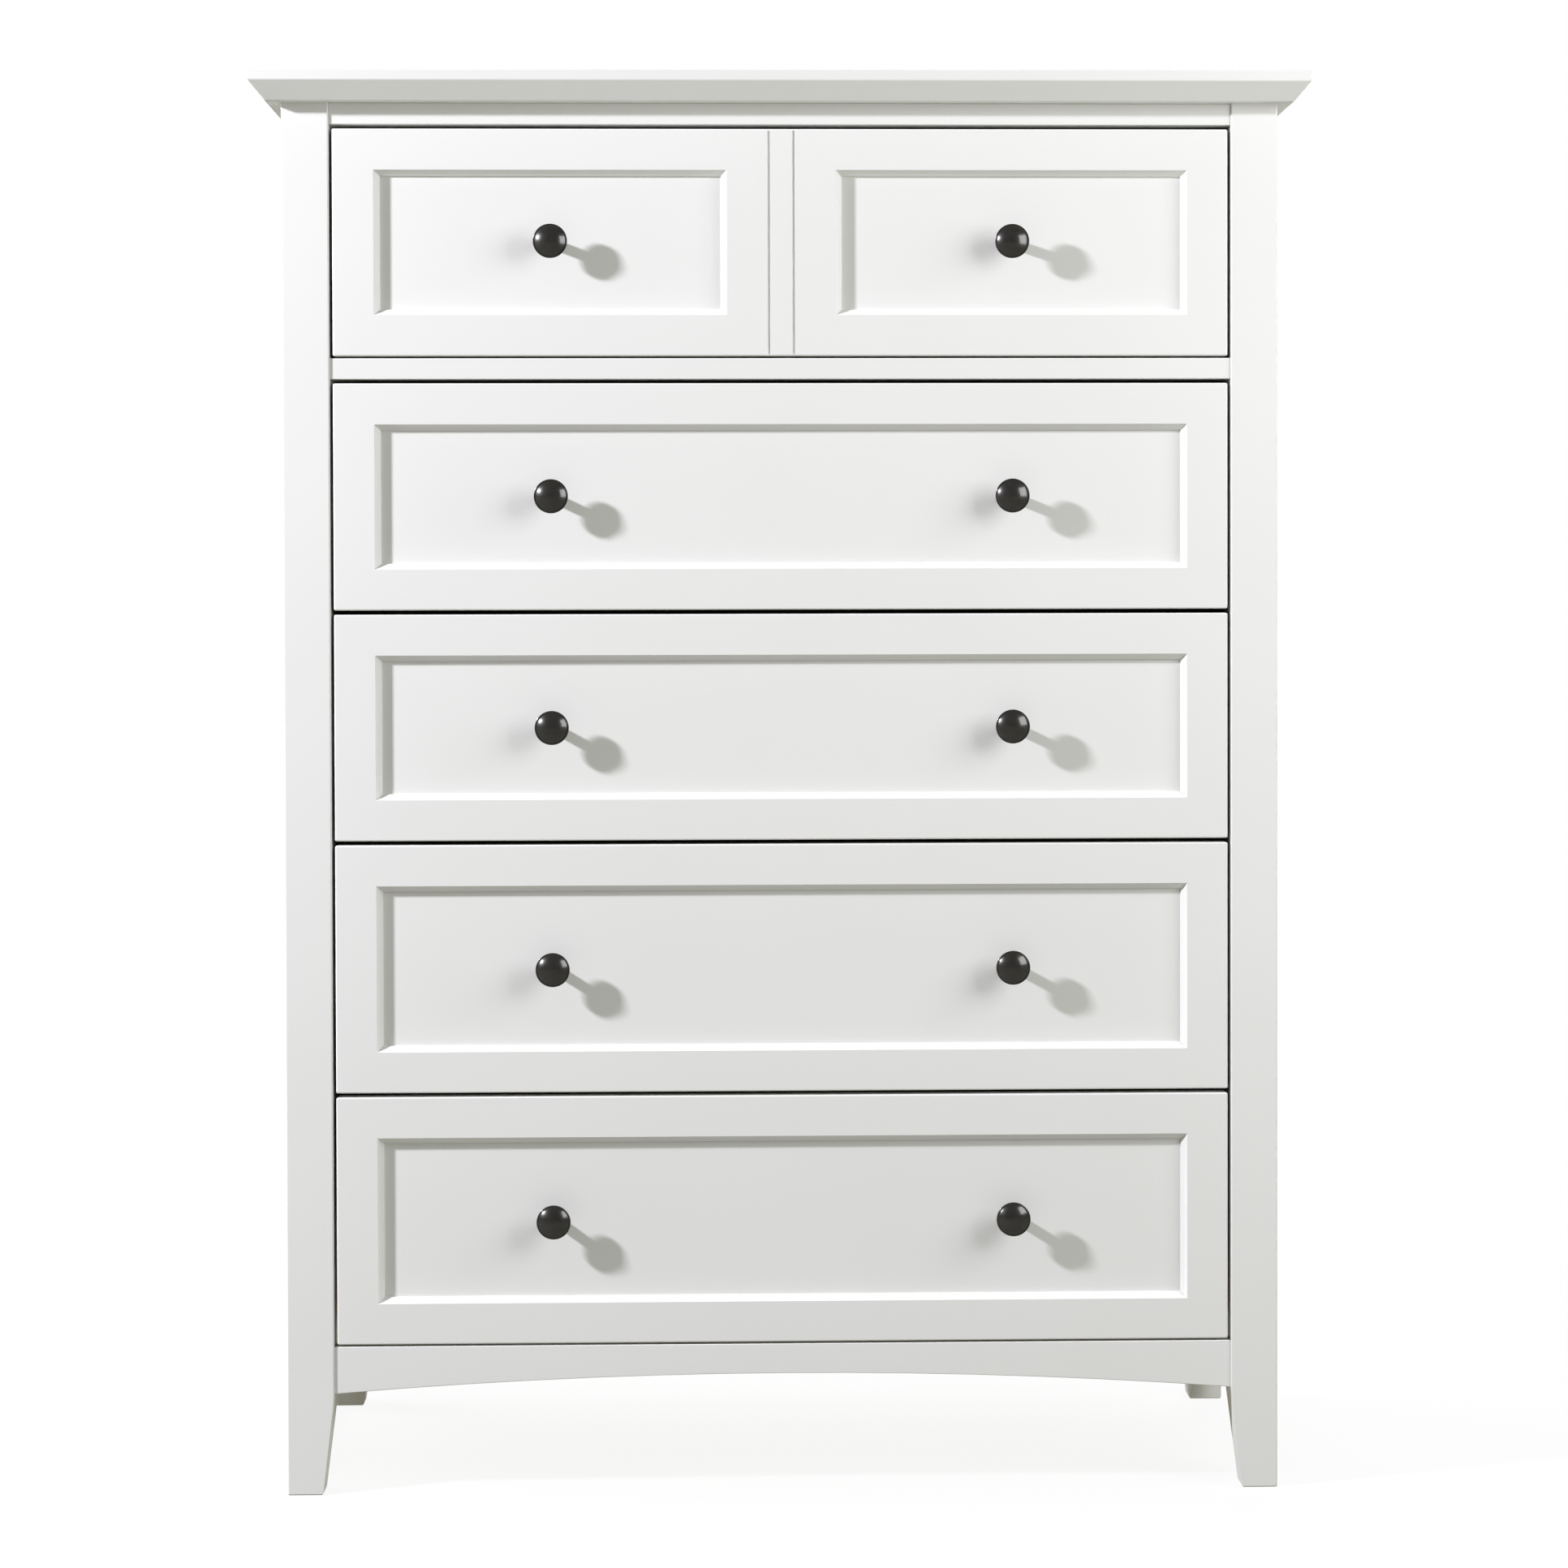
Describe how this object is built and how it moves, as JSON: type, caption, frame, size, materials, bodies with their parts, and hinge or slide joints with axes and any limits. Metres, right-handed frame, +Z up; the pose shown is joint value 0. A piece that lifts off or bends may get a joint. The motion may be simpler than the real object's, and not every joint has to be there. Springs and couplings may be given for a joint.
{
  "type": "tall chest of drawers",
  "caption": "Tall chest of drawers on tapered legs: overhanging moulded top, framed drawer fronts with round knobs, arched apron and full-extension slides.",
  "frame": {"origin": "on the floor under the middle of the top board", "axes": "+Z up; -Y is the front, where the drawers pull out; +X to the right seen from the front"},
  "size_m": [0.99, 0.457, 1.334],
  "materials": {
    "white_lacquer": "white sprayed satin lacquer",
    "plain_wood": "clear sealed pale hardwood",
    "drawer_ply": "sealed thin plywood",
    "back_board": "white-faced hardboard",
    "slide_steel": "zinc plated",
    "screw_zinc": "zinc plated",
    "knob_bronze": "dark satin bronze"
  },
  "bodies": {
    "case": {"top_panel": "white_lacquer", "front_left_post": "white_lacquer", "front_right_post": "white_lacquer", "rear_left_post": "white_lacquer", "rear_right_post": "white_lacquer", "left_side_panel": "white_lacquer", "right_side_panel": "white_lacquer", "left_upper_side_rail": "white_lacquer", "left_lower_side_rail": "white_lacquer", "right_upper_side_rail": "white_lacquer", "right_lower_side_rail": "white_lacquer", "top_rail": "white_lacquer", "middle_rail": "white_lacquer", "apron": "white_lacquer", "rear_upper_rail": "plain_wood", "rear_lower_rail": "plain_wood", "back_panel": "back_board", "corner_blocks": "plain_wood", "slide_cleats": "plain_wood", "case_slides": "slide_steel"},
    "drawer_1": {"drawer_1_front_frame": "white_lacquer", "drawer_1_panel": "white_lacquer", "drawer_1_box": "plain_wood", "drawer_1_bottom": "drawer_ply", "drawer_1_knobs": "knob_bronze", "drawer_1_screws": "screw_zinc", "drawer_1_slides": "slide_steel"},
    "middle_slides_1": {"middle_slides_1": "slide_steel"},
    "drawer_2": {"drawer_2_front_frame": "white_lacquer", "drawer_2_panel": "white_lacquer", "drawer_2_box": "plain_wood", "drawer_2_bottom": "drawer_ply", "drawer_2_knobs": "knob_bronze", "drawer_2_screws": "screw_zinc", "drawer_2_slides": "slide_steel"},
    "middle_slides_2": {"middle_slides_2": "slide_steel"},
    "drawer_3": {"drawer_3_front_frame": "white_lacquer", "drawer_3_panel": "white_lacquer", "drawer_3_box": "plain_wood", "drawer_3_bottom": "drawer_ply", "drawer_3_knobs": "knob_bronze", "drawer_3_screws": "screw_zinc", "drawer_3_slides": "slide_steel"},
    "middle_slides_3": {"middle_slides_3": "slide_steel"},
    "drawer_4": {"drawer_4_front_frame": "white_lacquer", "drawer_4_panel": "white_lacquer", "drawer_4_box": "plain_wood", "drawer_4_bottom": "drawer_ply", "drawer_4_knobs": "knob_bronze", "drawer_4_screws": "screw_zinc", "drawer_4_slides": "slide_steel"},
    "middle_slides_4": {"middle_slides_4": "slide_steel"},
    "drawer_5": {"drawer_5_front_frame": "white_lacquer", "drawer_5_panel": "white_lacquer", "drawer_5_box": "plain_wood", "drawer_5_bottom": "drawer_ply", "drawer_5_knobs": "knob_bronze", "drawer_5_screws": "screw_zinc", "drawer_5_slides": "slide_steel"},
    "middle_slides_5": {"middle_slides_5": "slide_steel"}
  },
  "joints": [
    {"name": "drawer_1_travel", "type": "slide", "parent": "case", "child": "drawer_1", "axis": [0, -1, 0], "range_m": [0, 0.33]},
    {"name": "middle_slides_1_travel", "type": "slide", "parent": "case", "child": "middle_slides_1", "axis": [0, -1, 0], "range_m": [0, 0.165]},
    {"name": "drawer_2_travel", "type": "slide", "parent": "case", "child": "drawer_2", "axis": [0, -1, 0], "range_m": [0, 0.33]},
    {"name": "middle_slides_2_travel", "type": "slide", "parent": "case", "child": "middle_slides_2", "axis": [0, -1, 0], "range_m": [0, 0.165]},
    {"name": "drawer_3_travel", "type": "slide", "parent": "case", "child": "drawer_3", "axis": [0, -1, 0], "range_m": [0, 0.33]},
    {"name": "middle_slides_3_travel", "type": "slide", "parent": "case", "child": "middle_slides_3", "axis": [0, -1, 0], "range_m": [0, 0.165]},
    {"name": "drawer_4_travel", "type": "slide", "parent": "case", "child": "drawer_4", "axis": [0, -1, 0], "range_m": [0, 0.33]},
    {"name": "middle_slides_4_travel", "type": "slide", "parent": "case", "child": "middle_slides_4", "axis": [0, -1, 0], "range_m": [0, 0.165]},
    {"name": "drawer_5_travel", "type": "slide", "parent": "case", "child": "drawer_5", "axis": [0, -1, 0], "range_m": [0, 0.33]},
    {"name": "middle_slides_5_travel", "type": "slide", "parent": "case", "child": "middle_slides_5", "axis": [0, -1, 0], "range_m": [0, 0.165]}
  ],
  "couplings": [
    {"joint": "middle_slides_1_travel", "follows": "drawer_1_travel", "ratio": 0.5},
    {"joint": "middle_slides_2_travel", "follows": "drawer_2_travel", "ratio": 0.5},
    {"joint": "middle_slides_3_travel", "follows": "drawer_3_travel", "ratio": 0.5},
    {"joint": "middle_slides_4_travel", "follows": "drawer_4_travel", "ratio": 0.5},
    {"joint": "middle_slides_5_travel", "follows": "drawer_5_travel", "ratio": 0.5}
  ]
}
